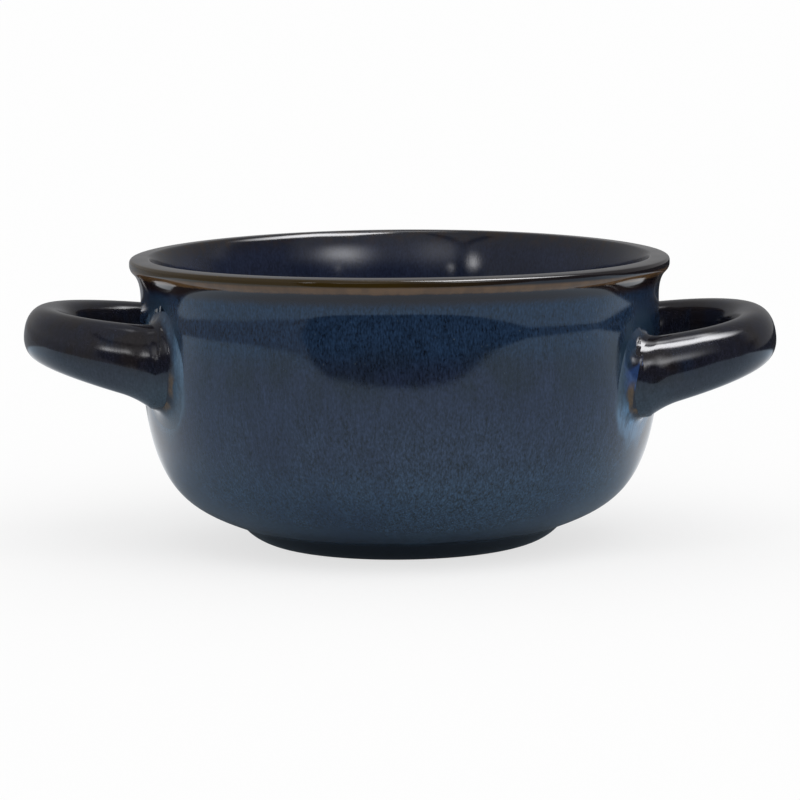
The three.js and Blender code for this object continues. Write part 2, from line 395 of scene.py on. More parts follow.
blue_glaze = (0.0105, 0.0245, 0.0540, 1.0)
violet_glaze = (0.0185, 0.0122, 0.0288, 1.0)
deep_glaze = (0.0078, 0.0125, 0.0220, 1.0)
# Paler blue painted on the lower belly: painted light, standing in for light bounced up from the table.
bounce_lit_glaze = (0.0155, 0.0350, 0.0660, 1.0)
pale_grain = (0.0450, 0.0600, 0.0750, 1.0)
umber_glaze = (0.0150, 0.0095, 0.0095, 1.0)
amber_glaze = (0.0300, 0.0180, 0.0030, 1.0)
dark_glaze = (0.0085, 0.0060, 0.0075, 1.0)
tan_glaze = (0.1160, 0.0650, 0.0280, 1.0)
tan_dark = (0.0880, 0.0490, 0.0215, 1.0)
top_glaze = (0.0150, 0.0160, 0.0215, 1.0)
top_brown = (0.0260, 0.0180, 0.0130, 1.0)
inside_glaze_painted_lighter = (0.0165, 0.0230, 0.0500, 1.0)
inside_deep = (0.0120, 0.0170, 0.0380, 1.0)
foot_glaze = (0.0117, 0.0167, 0.0255, 1.0)
bare_clay = (0.2000, 0.1450, 0.1000, 1.0)
dark_clay = (0.0900, 0.0600, 0.0400, 1.0)
body_gloss = 0.09
clay_roughness = 0.75
cloud_pattern = (0.45, 45.0, 4.0)
deep_pattern = (0.5, 130.0, 3.0)
break_pattern = (0.5, 260.0, 3.0)
amber_pattern = (1.0, 40.0, 3.0)
top_pattern = (1.0, 420.0, 4.0)
clay_pattern = (1.0, 1800.0, 3.0)

body_glaze, tree, shader, place, grain = glaze_material("body_glaze", body_gloss)
body_split = add_node(tree, "ShaderNodeSeparateXYZ", {0: place})
height = body_split.outputs["Z"]
from_crest = point_value(tree, "from_crest")
from_lip_edge = point_value(tree, "from_lip_edge")

# Blue and violet: six soft lobes round the wall, blurred by clouds and streaks, bluer at the neck
# and towards the foot. On the lower belly the blue is painted paler in clouds, standing in for light
# bounced up from the table, and a deeper band lies on the upper one.
lobe_count = 6.0
lobe_start = 0.73
neck_blue = (0.050, 0.064)
low_blue = (0.032, 0.014)
bounce_lit_low = (0.047, 0.030)
deep_from = (0.040, 0.050)
deep_to = (0.061, 0.053)
towards_front = product(tree, body_split.outputs["Y"], -1.0)
round_angle = math_node(tree, "ARCTAN2", body_split.outputs["X"], towards_front)
lobes = math_node(tree, "COSINE", weighted_sum(tree, lobe_start, (round_angle, lobe_count)))
clouds = stretched_noise(tree, place, *cloud_pattern)
blue_level = weighted_sum(
    tree, 0.15, (clouds, 0.7), (lobes, 0.13), (grain.outputs["Streak"], 0.16),
    (soft_mask(tree, height, neck_blue), 0.20), (soft_mask(tree, height, low_blue), 0.10),
)
blue_share = soft_mask(tree, blue_level, (0.41, 0.69))
# Painted light: where this share is high the blue is painted paler, as light bounced up from the table.
bounce_lit_share = masks(tree, (height, bounce_lit_low), (clouds, (0.35, 0.60)))
blue = mixed_colour(tree, bounce_lit_share, blue_glaze, bounce_lit_glaze)
colour = mixed_colour(tree, blue_share, violet_glaze, blue)
deep_noise = stretched_noise(tree, place, *deep_pattern)
deep_places = ((height, deep_from), (height, deep_to), (deep_noise, (0.30, 0.75)))
colour = covered(tree, colour, deep_glaze, *deep_places)
grain_strength = weighted_sum(tree, 0.42, (blue_share, 0.25), (bounce_lit_share, 0.35))
tree.links.new(grain_strength, grain.inputs["Strength"])
colour = scaled_colour(tree, colour, grain.outputs["Grain"])
pale_share = product(tree, grain.outputs["Pale"], blue_share)
colour = mixed_colour(tree, pale_share, colour, pale_grain)

# Round the handle roots the glaze pooled. Over the lip it broke to umber, tan and amber, measured
# along the profile from the lip's outer edge.
umber_span = (-0.0072, -0.0044)
brown_span = (-0.0030, -0.0022)
amber_to_tan = (-0.0002, -0.0010)
top_span = (0.0014, 0.0026)
amber_side = (0.060, 0.018)
amber_drift = 0.05
break_wobble = 0.0009
inputs = {"Place": place, "Paleness": point_value(tree, "runs")}
pooled = add_node(tree, "ShaderNodeGroup", inputs, node_tree=pool)
pool_level = weighted_sum(tree, point_value(tree, "pooled"), (pooled.outputs["Cover"], 0.7))
colour = covered(tree, colour, pooled.outputs["Colour"], (pool_level, (0.55, 1.15)))
break_noise = stretched_noise(tree, place, *break_pattern)
lip_line = math_node(tree, "ADD", from_lip_edge, swing(tree, break_noise, break_wobble))
colour = covered(tree, colour, umber_glaze, (lip_line, umber_span))
amber_noise = stretched_noise(tree, place, *amber_pattern)
amber_place = weighted_sum(tree, body_split.outputs["X"], (amber_noise, amber_drift))
amber = covered(tree, dark_glaze, amber_glaze, (amber_place, amber_side))
tan = covered(tree, tan_dark, tan_glaze, (break_noise, (0.35, 0.65)))
brown = covered(tree, amber, tan, (from_lip_edge, amber_to_tan))
colour = covered(tree, colour, brown, (lip_line, brown_span))
top_noise = stretched_noise(tree, place, *top_pattern)
top = covered(tree, top_glaze, top_brown, (top_noise, (0.42, 0.68)))
colour = covered(tree, colour, top, (lip_line, top_span))

# The foot has a thin, dark coat down to its resting face, where the clay is bare and rough. Past the
# crest the inside has a plainer blue, painted lighter in part to make up for the shade inside the bowl.
foot_span = (0.0060, 0.0046)
bare_span = (0.0007, 0.0004)
inside_span = (0.0005, 0.0075)
colour = covered(tree, colour, foot_glaze, (height, foot_span))
# Partly painted light: the inside blue is raised to make up for the shade inside the bowl.
inside = covered(tree, inside_deep, inside_glaze_painted_lighter, (clouds, (0.35, 0.65)))
inside = scaled_colour(tree, inside, weighted_sum(tree, 0.5, (grain.outputs["Grain"], 0.5)))
colour = covered(tree, colour, inside, (from_crest, inside_span))
bare = soft_mask(tree, height, bare_span)
clay = mixed_colour(tree, stretched_noise(tree, place, *clay_pattern), bare_clay, dark_clay)
colour = mixed_colour(tree, bare, colour, clay)
tree.links.new(colour, shader.inputs["Base Color"])
tree.links.new(weighted_sum(tree, body_gloss, (bare, clay_roughness)), shader.inputs["Roughness"])

glaze_softness = 0.00016
row_spacing = 0.0013
row_bend = np.radians(3.8)
bowl_turns = 240
bowl_rows = glaze_softened_rows(bowl_profile, glaze_softness, row_spacing, row_bend)
bowl_rings = bowl_rows[1:-1]
around = np.linspace(0.0, 2.0 * np.pi, bowl_turns, endpoint=False)
bowl_points = np.stack([
    bowl_rings[:, :1] * np.cos(around),
    bowl_rings[:, :1] * np.sin(around),
    np.repeat(bowl_rings[:, 1:], bowl_turns, axis=1),
], axis=-1)
near_rim = smooth_step(bowl_points[..., 2], rim_bow_start, bowl_height)
sideways = bowl_points[..., 0] / belly_radius
bowl_points[..., 2] -= near_rim * (rim_bow * sideways ** 2 + rim_tilt * sideways)
bowl_poles = np.array([[0.0, 0.0, foot_recess], [0.0, 0.0, floor_height]])
bowl_points = np.concatenate([bowl_points.reshape(-1, 3), bowl_poles])
bottom_pole = len(bowl_rings) * bowl_turns
top_pole = bottom_pole + 1
last_ring = bottom_pole - bowl_turns
turn = np.arange(bowl_turns)
next_turn = (turn + 1) % bowl_turns
bottom_fan = np.stack([np.full(bowl_turns, bottom_pole), next_turn, turn], axis=1)
top_fan = np.stack([last_ring + turn, last_ring + next_turn, np.full(bowl_turns, top_pole)], axis=1)
bowl_faces = ring_quads(len(bowl_rings), bowl_turns).tolist() + bottom_fan.tolist() + top_fan.tolist()
bowl_body = make_piece("glazed_bowl_body", bowl_points, bowl_faces, body_glaze)

row_length = length_along(bowl_rows)
point_length = np.concatenate([np.repeat(row_length[1:-1], bowl_turns), row_length[[0, -1]]])
past_crest = point_length - row_length[np.argmax(bowl_rows[:, 1])]
past_lip_edge = point_length - row_length[np.argmax(bowl_rows[:, 0])]
mark_points(bowl_body, "from_crest", past_crest)
mark_points(bowl_body, "from_lip_edge", past_lip_edge)

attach(bowl_body, "root")
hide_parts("bowl_body")


# Handles: two loops pulled from the same clay, set level on the left and right and thicker at the
# roots than at the grip. They carry a darker, thinner coat of the glaze, nearly black, and each is
# pressed on by hand, so the two sit at slightly different heights.

handle_reach = 0.03002
handle_spread = 0.028
handle_rise = 0.0058
loop_squareness = 2.25
section_squareness = 2.3
grip_width = 0.0114
grip_height = 0.0138
grip_roll = np.radians(9.0)
grip_middle = belly_radius + handle_reach - grip_width / 2.0
root_width = 0.012
root_flare = 0.0018
flare_run = 0.007
root_spread = 0.0020
spread_run = 0.012
root_end = 0.012
handle_end_gap = 0.0006
handle_sides = {
    "right": {"turn": 1.0, "root_height": 0.0477, "root_depth": 0.0184, "lean": 0.0027},
    "left": {"turn": -1.0, "root_height": 0.0500, "root_depth": 0.0194, "lean": 0.0002},
}


def signed_power(value, exponent):
    """Power of a number's size, with its sign kept."""
    return np.sign(value) * np.abs(value) ** exponent


def handle_lines(root_height, root_depth, lean, stations, around_steps):
    """Lines that run along a right-hand handle, as an array of stations by steps round the section.
    The middle line is half a superellipse in plan that rises towards the grip, with a straight end
    inside the wall at each root, and the section across it is a superellipse that flares at the wall
    and rolls its outer face up towards the grip."""
    fine_steps = 3000
    root_radius = wall_radius(root_height)
    root_reach = np.sqrt(root_radius ** 2 - handle_spread ** 2)
    run = grip_middle - root_reach
    bend = np.linspace(-np.pi / 2.0, np.pi / 2.0, fine_steps)
    out = np.abs(np.cos(bend)) ** (2.0 / loop_squareness)
    sweep = signed_power(np.sin(bend), 2.0 / loop_squareness)
    middle = np.stack([
        root_reach + run * out,
        handle_spread * sweep,
        root_height + handle_rise * out + lean / 2.0 * sweep,
    ], axis=1)
    end = np.array([root_end, 0.0, 0.0])
    middle = np.concatenate([middle[:1] - end, middle, middle[-1:] - end])
    lengths = length_along(middle)
    middle = points_at(np.linspace(0.0, lengths[-1], stations), lengths, middle)
    along = np.gradient(middle, axis=0)
    along /= np.linalg.norm(along, axis=1, keepdims=True)
    level = np.stack([along[:, 1], -along[:, 0], np.zeros(stations)], axis=1)
    level /= np.linalg.norm(level, axis=1, keepdims=True)
    upright = np.cross(level, along)
    out = np.clip((middle[:, 0] - root_reach) / run, 0.0, 1.0)
    roll = (grip_roll * out)[:, None]
    sideways = np.cos(roll) * level + np.sin(roll) * upright
    upwards = np.cos(roll) * upright - np.sin(roll) * level
    clear = np.hypot(middle[:, 0], middle[:, 1]) - root_radius
    flare = root_flare * np.clip(1.0 - clear / flare_run, 0.0, 1.0) ** 2
    spread = root_spread * np.clip(1.0 - clear / spread_run, 0.0, 1.0) ** 2
    half_width = (root_width + (grip_width - root_width) * out) / 2.0 + spread
    half_depth = (root_depth + (grip_height - root_depth) * out) / 2.0 + flare
    round_section = np.linspace(0.0, 2.0 * np.pi, around_steps, endpoint=False)
    across = signed_power(np.cos(round_section), 2.0 / section_squareness)
    rise = signed_power(np.sin(round_section), 2.0 / section_squareness)
    lines = middle[:, None] + sideways[:, None] * (half_width[:, None] * across)[..., None]
    return lines + upwards[:, None] * (half_depth[:, None] * rise)[..., None]


def wall_clearance(points):
    """Distance of points from the outer wall, measured straight out from the bowl's axis."""
    return np.hypot(points[..., 0], points[..., 1]) - wall_radius(points[..., 2])


def leaves_wall(lines, clearance):
    """Station, with its fraction, at which each line first stands a clearance off the wall."""
    margin = wall_clearance(lines) - clearance
    after = np.maximum(np.argmax(margin > 0.0, axis=0), 1)
    columns = np.arange(lines.shape[1])
    low = margin[after - 1, columns]
    high = margin[after, columns]
    return after - 1 + np.clip(low / (low - high), 0.0, 1.0)


def points_along(lines, stations):
    """Points of the lines at given stations, by straight steps between their neighbours."""
    low = np.clip(np.floor(stations).astype(int), 0, len(lines) - 2)
    share = (stations - low)[..., None]
    columns = np.broadcast_to(np.arange(lines.shape[1]), low.shape)
    return lines[low, columns] * (1.0 - share) + lines[low + 1, columns] * share


def add_lumps(tree, shader, lump_height, depth):
    """Puts broader lumps, as deep as given, under the fine skin of a glaze."""
    skin = shader.inputs["Normal"].links[0].from_node
    lumps = add_node(tree, "ShaderNodeBump", {"Height": lump_height, "Distance": depth, "Strength": 1.0})
    tree.links.new(lumps.outputs[0], skin.inputs["Normal"])


handle_black = (0.0095, 0.0102, 0.0180, 1.0)
handle_brown = (0.0115, 0.0095, 0.0110, 1.0)
handle_blue = (0.0085, 0.0125, 0.0250, 1.0)
# Greyer colour for the handle's underside: a painted reflection of the table below it.
handle_underside_reflection = (0.0165, 0.0195, 0.0300, 1.0)
root_blue = (0.0240, 0.0420, 0.0620, 1.0)
handle_gloss = 0.10
dry_roughness = 0.03
handle_grain = 0.4
mottle_pattern = (1.0, 110.0, 4.0)
handle_cloud_pattern = (0.6, 170.0, 3.0)
handle_lump_pattern = (1.0, 150.0, 1.0)
handle_lump_depth = 0.0004
lumps_from = (0.0016, 0.0050)
lumps_to = (0.0125, 0.0040)

# Nearly black, brown and blue in clouds, painted greyer below as a painted reflection of the table, and
# bluer under the roots.
handle_glaze, tree, shader, place, grain = glaze_material("handle_glaze", handle_gloss)
grain.inputs["Strength"].default_value = handle_grain
rise = point_value(tree, "rise")
near_root = point_value(tree, "near_root")
mottle = stretched_noise(tree, place, *mottle_pattern)
colour = covered(tree, handle_black, handle_brown, (mottle, (0.42, 0.66)))
cloud = stretched_noise(tree, place, *handle_cloud_pattern)
colour = covered(tree, colour, handle_blue, (cloud, (0.52, 0.75)))
# Painted reflection: the underside of the handle is painted greyer, standing in for the table's reflection.
colour = covered(tree, colour, handle_underside_reflection, (rise, (-0.1, -0.5)))
root_share = product(tree, near_root, masks(tree, (rise, (0.1, -0.7)), (cloud, (0.25, 0.6))))
colour = mixed_colour(tree, root_share, colour, root_blue)
tree.links.new(scaled_colour(tree, colour, grain.outputs["Grain"]), shader.inputs["Base Color"])
dry_top = masks(tree, (rise, (-0.2, 0.6)), (near_root, (0.8, 0.2)))
tree.links.new(weighted_sum(tree, handle_gloss, (dry_top, dry_roughness)), shader.inputs["Roughness"])

# Soft lumps where the handle was pressed on, a few millimetres off the wall.
level_place = vector_node(tree, "MULTIPLY", place, (1.0, 1.0, 0.0))[0]
from_axis = vector_node(tree, "LENGTH", level_place)["Value"]
off_body = math_node(tree, "SUBTRACT", from_axis, belly_radius)
lump_place = masks(tree, (off_body, lumps_from), (off_body, lumps_to))
lump_noise = stretched_noise(tree, place, *handle_lump_pattern)
add_lumps(tree, shader, product(tree, lump_noise, lump_place), handle_lump_depth)

section_steps = 96
handle_stations = 700
handle_rings = 190
root_run = 0.007
handle_side_lines = {}
for side, facts in handle_sides.items():
    lines = handle_lines(
        facts["root_height"], facts["root_depth"], facts["lean"], handle_stations, section_steps,
    )
    handle_side_lines[side] = lines
    front_end = leaves_wall(lines, handle_end_gap)
    rear_end = handle_stations - 1 - leaves_wall(lines[::-1], handle_end_gap)
    share = np.linspace(0.0, 1.0, handle_rings)[:, None]
    handle_points = points_along(lines, front_end + (rear_end - front_end) * share)
    handle_points = handle_points * np.array([facts["turn"], facts["turn"], 1.0])
    handle_faces = ring_quads(handle_rings, section_steps)[:, ::-1].tolist()
    ring = np.arange(section_steps)
    handle_faces.append(ring.tolist())
    handle_faces.append((ring + (handle_rings - 1) * section_steps)[::-1].tolist())
    handle = make_piece(side + "_loop_handle", handle_points, handle_faces, handle_glaze)
    ring_rise = np.sin(np.linspace(0.0, 2.0 * np.pi, section_steps, endpoint=False))
    mark_points(handle, "rise", np.tile(ring_rise, handle_rings))
    mark_points(handle, "near_root", np.exp(-(wall_clearance(handle_points) / root_run) ** 2))
    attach(handle, "root")
    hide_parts(side + "_handle")


# Slip joints: liquid clay that lutes each of the four handle roots to the wall, wiped with a finger
# into a fillet with an uneven edge. The glaze pools teal against the wall, and breaks brown in a thin
# line over the lower edge of the handle.

fillet_on_handle = 0.0022
fillet_on_wall = 0.0042
fillet_top_share = 0.4
fillet_crown = 0.00004
fillet_run_out = 0.00002
blend_run = 0.0016
blend_depth = 0.00012
blend_power = 1.5
tuck_run = 0.0005
tuck_depth = 0.00012
back_inset = 0.0012
back_rise = 0.0002
fillet_steps = 18
blend_steps = 5
slip_brown = (0.0740, 0.0460, 0.0210, 1.0)
slip_blue = (0.0200, 0.0450, 0.1300, 1.0)
slip_deep = (0.0190, 0.0380, 0.0720, 1.0)
slip_gloss = 0.12
slip_grain = 0.3
left_paleness = 0.40
slip_break_pattern = (0.5, 300.0, 3.0)
slip_blue_pattern = (0.7, 190.0, 2.0)
brown_gap_pattern = (0.5, 150.0, 2.0)
slip_lump_pattern = (0.7, 170.0, 1.0)
slip_lump_depth = 0.00015
towards_left = (0.0, -0.02)
towards_right = (-0.02, 0.0)
right_only = (0.0, 0.02)

# Across runs from 0 at the handle to 1 on the wall, and lowness from -1 at the top to 1 below.
slip_glaze, tree, shader, place, grain = glaze_material("slip_glaze", slip_gloss)
grain.inputs["Strength"].default_value = slip_grain
across = point_value(tree, "across")
lowness = point_value(tree, "lowness")
side_place = add_node(tree, "ShaderNodeSeparateXYZ", {0: place}).outputs["X"]
left_side = product(tree, soft_mask(tree, side_place, towards_left), left_paleness)
right_low = masks(tree, (lowness, (0.2, 0.9)), (side_place, towards_right))
left_high = product(tree, left_side, soft_mask(tree, lowness, (0.9, -0.2)))
inputs = {"Place": place, "Paleness": math_node(tree, "ADD", right_low, left_high)}
pooled = add_node(tree, "ShaderNodeGroup", inputs, node_tree=pool)
break_noise = stretched_noise(tree, place, *slip_break_pattern)
edge_line = math_node(tree, "ADD", across, swing(tree, break_noise, 0.6))
low_line = math_node(tree, "ADD", lowness, swing(tree, pooled.outputs["Cover"], 2.0))
pool_line = math_node(tree, "ADD", low_line, left_side)
pool_colour = covered(tree, slip_deep, pooled.outputs["Colour"], (pool_line, (-0.7, 0.1)))
colour = covered(tree, handle_black, pool_colour, (edge_line, (0.16, 0.62)))
blue_noise = stretched_noise(tree, place, *slip_blue_pattern)
blue_places = (
    (lowness, (-0.6, -0.2)), (lowness, (0.5, 0.2)), (blue_noise, (0.40, 0.54)),
    (side_place, right_only), (across, (0.9, 0.5)),
)
colour = covered(tree, colour, slip_blue, *blue_places)
brown_gaps = stretched_noise(tree, place, *brown_gap_pattern)
brown_places = (
    (edge_line, (0.06, 0.14)), (edge_line, (0.48, 0.32)), (lowness, (0.0, 0.3)),
    (brown_gaps, (0.36, 0.52)), (lowness, (0.98, 0.85)),
)
colour = covered(tree, colour, slip_brown, *brown_places)
tree.links.new(scaled_colour(tree, colour, grain.outputs["Grain"]), shader.inputs["Base Color"])
lump_noise = stretched_noise(tree, place, *slip_lump_pattern)
lump_place = masks(tree, (across, (0.95, 0.5)), (across, (0.05, 0.4)))
add_lumps(tree, shader, product(tree, lump_noise, lump_place), slip_lump_depth)


def on_wall(sideways, height, middle_angle, depth):
    """Points at distances round the wall from a middle angle and at heights, sunk in by a depth."""
    radius = wall_radius(height)
    angle = middle_angle + sideways / radius
    return np.stack([(radius - depth) * np.cos(angle), (radius - depth) * np.sin(angle), height], axis=-1)


def wiped_edge(steps, start):
    """Share of the fillet's reach at each step round the root: 1 with waves of one, two and five
    turns, shifted by a start angle so that no two roots are alike."""
    turn = np.linspace(0.0, 2.0 * np.pi, steps, endpoint=False) + start
    return 1.0 + 0.20 * np.cos(turn) + 0.14 * np.cos(2.0 * turn + 1.0) + 0.07 * np.cos(5.0 * turn)


def fillet_collar(lines, start, reach):
    """Collar round the root where the lines meet the wall: at each step round the section, a curve
    in distances along the wall and off it, which leaves the handle along its line and runs out
    level with the wall, less far at the top. Rings sunk in the handle and in the wall continue the
    curve out of sight, and one just inside the joint closes it behind."""
    edge = wiped_edge(lines.shape[1], start)
    corner = points_along(lines, leaves_wall(lines, 0.0))
    middle = corner.mean(axis=0)
    middle_angle = np.arctan2(middle[1], middle[0])

    def along_wall(points):
        """Distance round the wall, height over the joint's middle and distance off the wall."""
        turn = np.arctan2(points[:, 1], points[:, 0]) - middle_angle
        round_wall = turn * wall_radius(points[:, 2])
        return np.stack([round_wall, points[:, 2] - middle[2], wall_clearance(points)], axis=1)

    flat = along_wall(corner) * [1.0, 1.0, 0.0]
    outwards = flat / np.hypot(flat[:, 0], flat[:, 1])[:, None]
    topness = np.clip(outwards[:, 1:2], 0.0, 1.0)
    off_wall = fillet_on_handle * edge[::-1]
    handle_edge = along_wall(points_along(lines, leaves_wall(lines, off_wall)))
    sunk_handle = []
    for back in np.linspace(1.0, 0.0, blend_steps, endpoint=False):
        on_handle = along_wall(points_along(lines, leaves_wall(lines, off_wall + blend_run * back)))
        sunk_handle.append(on_handle - blend_depth * back ** blend_power * outwards)
    wall_run = fillet_on_wall * reach * edge[:, None] * (1.0 - fillet_top_share * topness)
    wall_edge = flat + wall_run * outwards
    sunk_wall = wall_edge + tuck_run * outwards - [0.0, 0.0, tuck_depth]
    behind = flat - back_inset * outwards + [0.0, 0.0, back_rise]
    share = np.linspace(0.0, 1.0, fillet_steps)[:, None, None]
    curve = (1.0 - share) ** 2 * handle_edge + 2.0 * share * (1.0 - share) * flat + share ** 2 * wall_edge
    curve += fillet_crown * 4.0 * share * (1.0 - share) * outwards
    curve[..., 2] -= fillet_run_out * share[..., 0] ** 2
    rings = np.concatenate([sunk_handle, curve, sunk_wall[None], behind[None]])
    collar = on_wall(rings[..., 0], middle[2] + rings[..., 1], middle_angle, -rings[..., 2])
    lowness = np.broadcast_to(-flat[:, 1] / np.abs(flat[:, 1]).max(), rings.shape[:2])
    across = np.concatenate([np.zeros(blend_steps), share[:, 0, 0], [1.0, 0.5]])
    return collar, np.broadcast_to(across[:, None], lowness.shape), lowness


# Each collar has its start angle and its reach on the wall, and its last ring joins its first.
collar_shapes = {
    "right_front": (0.4, 0.75), "right_rear": (2.1, 1.0), "left_front": (3.6, 1.4), "left_rear": (5.2, 1.0),
}
collar_rings = blend_steps + fillet_steps + 2
for side, facts in handle_sides.items():
    side_lines = handle_side_lines[side]
    first_end, last_end = ("front", "rear") if side == "right" else ("rear", "front")
    for end, lines in {first_end: side_lines, last_end: side_lines[::-1]}.items():
        root = side + "_" + end
        collar_points, collar_across, collar_lowness = fillet_collar(lines, *collar_shapes[root])
        collar_points = collar_points * np.array([facts["turn"], facts["turn"], 1.0])
        collar_faces = ring_quads(collar_rings + 1, section_steps) % (collar_rings * section_steps)
        if end == first_end:
            collar_faces = collar_faces[:, ::-1]
        collar = make_piece(root + "_slip_fillet", collar_points, collar_faces.tolist(), slip_glaze)
        mark_points(collar, "across", collar_across)
        mark_points(collar, "lowness", collar_lowness)
        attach(collar, "root")
        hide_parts(root + "_slip_joint")


# Glaze that pooled on the wall in a halo round each root and ran down from it in a stream. Both are
# kept at the body's points, since it is the body's glaze.
root_half_width = 0.0086
root_mean_half = 0.0095
halo_span = (0.0085, 0.0030)
halo_top_share = 0.55
stream_drop = 0.015
stream_half_width = 0.0085
lip_clearance = 0.0050
run_paleness = {"right": 1.0, "left": 0.35}
pooled_values = np.zeros(len(bowl_points))
run_values = np.zeros(len(bowl_points))
for side, facts in handle_sides.items():
    for end in (-1.0, 1.0):
        root_middle = facts["root_height"] + end * facts["lean"] / 2.0
        root_reach = np.sqrt(wall_radius(root_middle) ** 2 - handle_spread ** 2)
        root_angle = np.arctan2(end * handle_spread, root_reach)
        spin = np.arctan2(bowl_points[:, 1] * facts["turn"], bowl_points[:, 0] * facts["turn"])
        sideways = (spin - root_angle) * belly_radius
        upwards = bowl_points[:, 2] - root_middle
        half_depth = facts["root_depth"] / 2.0 + root_flare
        ring = np.abs(sideways / root_half_width) ** section_squareness
        ring = (ring + np.abs(upwards / half_depth) ** section_squareness) ** (1.0 / section_squareness)
        halo = smooth_step(np.maximum(ring - 1.0, 0.0) * root_mean_half, *halo_span)
        low = smooth_step(-upwards, 0.0, half_depth)
        stream = low * smooth_step(-upwards, half_depth + stream_drop, half_depth)
        stream = stream * np.exp(-(sideways / stream_half_width) ** 4)
        halo_level = halo * (halo_top_share + (1.0 - halo_top_share) * low)
        pooled_values = np.maximum(pooled_values, np.maximum(halo_level, stream))
        run_values = np.maximum(run_values, run_paleness[side] * low * np.maximum(halo, stream))
outside = past_lip_edge < -lip_clearance
mark_points(bowl_body, "pooled", pooled_values * outside)
mark_points(bowl_body, "runs", run_values * outside)


# Floor and studio: a white table with a straight front edge, a dim room beyond it that is grey higher
# up, and lamps on the right and overhead. The room and the lamps only show in the glaze's
# reflections. The light on the object itself is a plain white sky and one soft key.

def seen_rays(tree):
    """Whether a ray comes from a mirror-like surface, and whether the camera sees what it meets,
    directly, in a reflection or through glass."""
    ray = add_node(tree, "ShaderNodeLightPath").outputs
    seen = math_node(tree, "MAXIMUM", ray["Is Camera Ray"], ray["Is Glossy Ray"])
    return ray["Is Glossy Ray"], math_node(tree, "MAXIMUM", seen, ray["Is Transmission Ray"])


def empty_material(name):
    """Material whose node tree has only its output left, and that tree."""
    material = bpy.data.materials.new(name)
    material.use_nodes = True
    tree = material.node_tree
    tree.nodes.remove(tree.nodes["Principled BSDF"])
    return material, tree


def open_quads(rows, columns):
    """Quads of an open grid."""
    row, column = np.meshgrid(np.arange(rows - 1), np.arange(columns - 1), indexing="ij")
    here = (row * columns + column).ravel()
    return np.stack([here, here + 1, here + columns + 1, here + columns], axis=1).tolist()


# The table is white to the camera. In reflections it is bluer in front and at the sides, dim at the
# rear, darkest on its right, and shaded beside the foot and behind it.
table_half = 9.0
table_corners = 3
plain_white = (1.0, 1.0, 1.0, 1.0)
table_white = (0.95, 0.98, 1.02, 1.0)
table_side = (0.70, 0.86, 1.03, 1.0)
table_front = (0.54, 0.70, 0.86, 1.0)
table_rear = (0.28, 0.29, 0.31, 1.0)
table_rear_right = (0.03, 0.032, 0.036, 1.0)
front_span = (0.1, -0.05)
side_span = (0.12, 0.26)
rear_span = (0.19, 0.27)
rear_right_span = (0.05, 0.12)
foot_shade = (0.085, 0.034)
rear_shade = (0.115, 0.045)
rear_shade_middle = (-0.003, 0.03, 0.0)
shade_depth = 0.66
table_matt_share = 0.80
table_seen_share = 0.30
table_seen_glow = 0.70
table_paint, tree = empty_material("white_table")
mirrored, seen = seen_rays(tree)
table_place = add_node(tree, "ShaderNodeTexCoord").outputs["Object"]
table_split = add_node(tree, "ShaderNodeSeparateXYZ", {0: table_place})
table_x = table_split.outputs["X"]
table_y = table_split.outputs["Y"]
tint = mixed_colour(tree, mirrored, plain_white, table_white)
mirrored_tints = [
    (math_node(tree, "ABSOLUTE", table_x), side_span, table_side),
    (table_y, rear_span, covered(tree, table_rear, table_rear_right, (table_x, rear_right_span))),
    (table_y, front_span, table_front),
]
for measure, span, over in mirrored_tints:
    tint = mixed_colour(tree, product(tree, soft_mask(tree, measure, span), mirrored), tint, over)
matt_share = weighted_sum(tree, table_matt_share, (seen, table_seen_share - table_matt_share))
table_matt = add_node(tree, "ShaderNodeBsdfDiffuse", {"Color": scaled_colour(tree, tint, matt_share)})
from_foot = vector_node(tree, "LENGTH", table_place)["Value"]
from_rear = vector_node(tree, "DISTANCE", table_place, rear_shade_middle)["Value"]
near_foot = soft_mask(tree, from_foot, foot_shade)
shade = math_node(tree, "MAXIMUM", near_foot, soft_mask(tree, from_rear, rear_shade))
glow_share = weighted_sum(tree, table_seen_glow, (product(tree, shade, mirrored), -shade_depth))
inputs = {"Color": tint, "Strength": product(tree, glow_share, seen)}
table_glow = add_node(tree, "ShaderNodeEmission", inputs)
table_sum = add_node(tree, "ShaderNodeAddShader", {0: table_matt.outputs[0], 1: table_glow.outputs[0]})
tree.links.new(table_sum.outputs[0], tree.nodes["Material Output"].inputs["Surface"])
table_steps = np.linspace(-table_half, table_half, table_corners)
table_points = np.stack([*np.meshgrid(table_steps, table_steps), np.zeros((table_corners,) * 2)], axis=-1)
table = make_piece("white_table", table_points, open_quads(table_corners, table_corners), table_paint)

# The room's floor beyond the table's edge: dark in front of a straight edge with a corner on each
# side, and dim on the left. Each strip has a level, and runs from corners of the edge straight out
# into the room in the heading given for each of them.
room_white = (1.0, 1.0, 1.02, 1.0)
room_dark = 0.02
room_dim = 0.25
room_reach = 8.0
room_lift = 0.0003
room_strips = {
    "room_floor": (room_dark, [(-0.28, -0.375), (-0.15, -0.297), (0.112, -0.300)], [-43.0, -25.0, 60.0]),
    "room_floor_left": (
        room_dim,
        [(-0.95, 0.80), (-0.86, 0.17), (-0.69, -0.25), (-0.41, -0.37), (-0.28, -0.375)],
        [-140.0, -110.0, -85.0, -60.0, -43.0],
    ),
}


def glowing_material(name, strength):
    """Material that glows evenly, or by a number kept at its points where the strength is a name."""
    material, tree = empty_material(name)
    if isinstance(strength, str):
        strength = point_value(tree, strength)
    glow = add_node(tree, "ShaderNodeEmission", {"Color": room_white, "Strength": strength})
    tree.links.new(glow.outputs[0], tree.nodes["Material Output"].inputs["Surface"])
    return material


